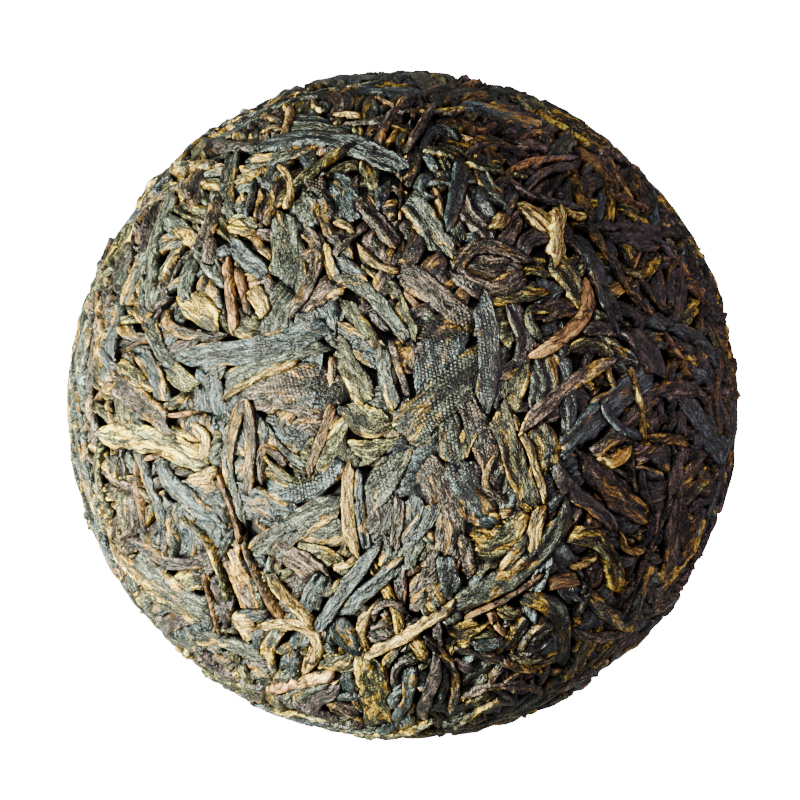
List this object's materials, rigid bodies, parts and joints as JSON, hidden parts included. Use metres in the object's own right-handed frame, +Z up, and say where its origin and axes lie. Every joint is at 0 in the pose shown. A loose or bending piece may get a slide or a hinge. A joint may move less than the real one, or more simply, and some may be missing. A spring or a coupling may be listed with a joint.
{
  "type": "pu erh tuocha",
  "caption": "Small dome-shaped cake of whole pu erh tea leaves pressed together, with a rounded hollow underneath and a flat foot ring.",
  "frame": {"origin": "middle of the foot ring that the cake rests on, at the floor", "axes": "+Z up through the top of the dome, +X to the right and +Y away from someone who looks down on the dome"},
  "size_m": [0.0814, 0.081, 0.0432],
  "materials": {
    "pressed_tea": "dry pressed leaves, matt with a faint sheen"
  },
  "bodies": {
    "root": {"tea_cake": "pressed_tea"}
  },
  "joints": []
}
